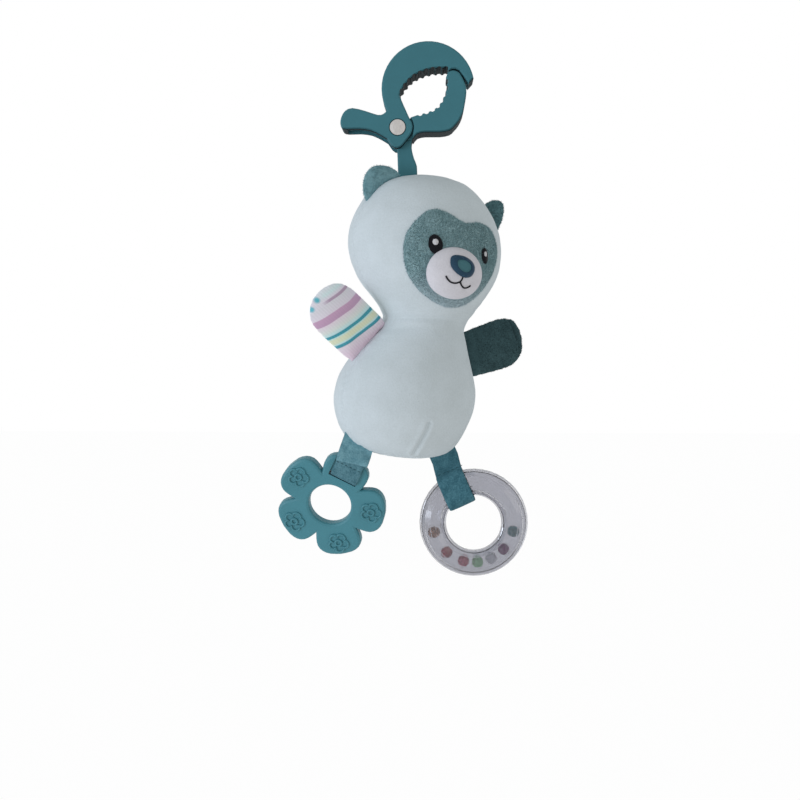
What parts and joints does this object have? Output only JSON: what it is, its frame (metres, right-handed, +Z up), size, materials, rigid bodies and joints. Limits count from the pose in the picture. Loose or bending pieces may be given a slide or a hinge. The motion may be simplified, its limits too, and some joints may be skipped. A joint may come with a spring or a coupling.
{
  "type": "hanging pram toy",
  "caption": "Stuffed bear-like pram toy on a sprung toothed clip, with a flower teether and a clear rattle ring of loose beads hanging from ribbon legs.",
  "frame": {"origin": "middle of the clip's grip, where the pram's bar runs through along Y", "axes": "+Z up as the toy hangs, the clip's flat side faces -Y, +X to the right seen from the front"},
  "size_m": [0.1346, 0.0838, 0.2828],
  "materials": {
    "teal_plastic": "satin moulded",
    "steel": "satin",
    "pale_velour": "short velour pile",
    "teal_velour": "short velour pile",
    "mask_velour": "short velour pile",
    "white_plush": "soft plush",
    "navy_thread": "satin stitch",
    "black_thread": "satin stitch",
    "striped_cotton": "printed jersey",
    "ribbon": "satin ribbon",
    "teether_rubber": "satin",
    "clear_plastic": "clear",
    "bead_1": "glossy",
    "bead_2": "glossy",
    "bead_3": "glossy",
    "bead_4": "glossy",
    "bead_5": "glossy",
    "bead_6": "glossy",
    "bead_7": "glossy"
  },
  "bodies": {
    "toy": {"lower_jaw": "teal_plastic", "clip_rivet": "steel", "clip_spring": "steel", "head": "pale_velour", "body": "pale_velour", "face_mask": "mask_velour", "muzzle": "white_plush", "nose": "navy_thread", "eye_left": "black_thread", "eye_right": "black_thread"},
    "hook_jaw": {"hook_jaw": "teal_plastic"},
    "ear_left": {"ear_left": "teal_velour"},
    "ear_right": {"ear_right": "teal_velour"},
    "arm_left": {"arm_left": "striped_cotton"},
    "arm_right": {"arm_right": "teal_velour"},
    "ribbon_left": {"ribbon_left": "ribbon"},
    "teether": {"teether": "teether_rubber"},
    "ribbon_right": {"ribbon_right": "ribbon"},
    "ring": {"ring_front_shell": "clear_plastic", "ring_back_shell": "clear_plastic"},
    "bead_1": {"bead_1": "bead_1"},
    "bead_2": {"bead_2": "bead_2"},
    "bead_3": {"bead_3": "bead_3"},
    "bead_4": {"bead_4": "bead_4"},
    "bead_5": {"bead_5": "bead_5"},
    "bead_6": {"bead_6": "bead_6"},
    "bead_7": {"bead_7": "bead_7"}
  },
  "joints": [
    {"name": "clip_open", "type": "hinge", "parent": "toy", "child": "hook_jaw", "pos_m": [-0.01415, 0, -0.01913], "axis": [0, -1, 0], "range_deg": [0, 30], "stiffness_Nm_per_rad": 0.25, "springref_deg": -34.38, "deforming": ["clip_spring"]},
    {"name": "ear_left_bend", "type": "hinge", "parent": "toy", "child": "ear_left", "pos_m": [-0.02346, -0.0148, -0.04935], "axis": [-0.7125, -0.2808, -0.6431], "range_deg": [-25, 25], "stiffness_Nm_per_rad": 0.004},
    {"name": "ear_right_bend", "type": "hinge", "parent": "toy", "child": "ear_right", "pos_m": [0.03241, 0.01385, -0.06298], "axis": [-0.3893, -0.2808, 0.8773], "range_deg": [-25, 25], "stiffness_Nm_per_rad": 0.004},
    {"name": "arm_left_flap", "type": "hinge", "parent": "toy", "child": "arm_left", "pos_m": [-0.02966, -0.01283, -0.12928], "axis": [0.6422, 0.1685, 0.7478], "range_deg": [-30, 30], "stiffness_Nm_per_rad": 0.03},
    {"name": "arm_right_flap", "type": "hinge", "parent": "toy", "child": "arm_right", "pos_m": [0.02132, 0.01419, -0.13833], "axis": [-0.1879, -0.2091, 0.9597], "range_deg": [-30, 30], "stiffness_Nm_per_rad": 0.03},
    {"name": "left_leg_swing", "type": "hinge", "parent": "toy", "child": "ribbon_left", "pos_m": [-0.03536, -0.013, -0.18605], "axis": [0.8988, 0, -0.4384], "range_deg": [-57, 8]},
    {"name": "teether_tilt", "type": "hinge", "parent": "ribbon_left", "child": "teether", "pos_m": [-0.03975, -0.00994, -0.19505], "axis": [0.8988, 0, -0.4384], "range_deg": [-12, 12]},
    {"name": "right_leg_swing", "type": "hinge", "parent": "toy", "child": "ribbon_right", "pos_m": [0.01002, 0.009, -0.19129], "axis": [0.9135, 0, 0.4067], "range_deg": [-30, 40]},
    {"name": "ring_spin", "type": "hinge", "parent": "ribbon_right", "child": "ring", "pos_m": [0.02668, 0.009, -0.2287], "axis": [0, -1, 0], "continuous": true},
    {"name": "bead_1_roll", "type": "hinge", "parent": "ring", "child": "bead_1", "pos_m": [0.02668, 0.009, -0.2287], "axis": [0, -1, 0], "continuous": true},
    {"name": "bead_2_roll", "type": "hinge", "parent": "bead_1", "child": "bead_2", "pos_m": [0.02668, 0.009, -0.2287], "axis": [0, -1, 0], "range_deg": [-16.6, 21]},
    {"name": "bead_3_roll", "type": "hinge", "parent": "bead_2", "child": "bead_3", "pos_m": [0.02668, 0.009, -0.2287], "axis": [0, -1, 0], "range_deg": [-9.6, 28]},
    {"name": "bead_4_roll", "type": "hinge", "parent": "bead_3", "child": "bead_4", "pos_m": [0.02668, 0.009, -0.2287], "axis": [0, -1, 0], "range_deg": [-2.6, 35]},
    {"name": "bead_5_roll", "type": "hinge", "parent": "bead_4", "child": "bead_5", "pos_m": [0.02668, 0.009, -0.2287], "axis": [0, -1, 0], "range_deg": [-2.6, 35]},
    {"name": "bead_6_roll", "type": "hinge", "parent": "bead_5", "child": "bead_6", "pos_m": [0.02668, 0.009, -0.2287], "axis": [0, -1, 0], "range_deg": [-4.6, 33]},
    {"name": "bead_7_roll", "type": "hinge", "parent": "bead_6", "child": "bead_7", "pos_m": [0.02668, 0.009, -0.2287], "axis": [0, -1, 0], "range_deg": [-11.6, 26]}
  ]
}
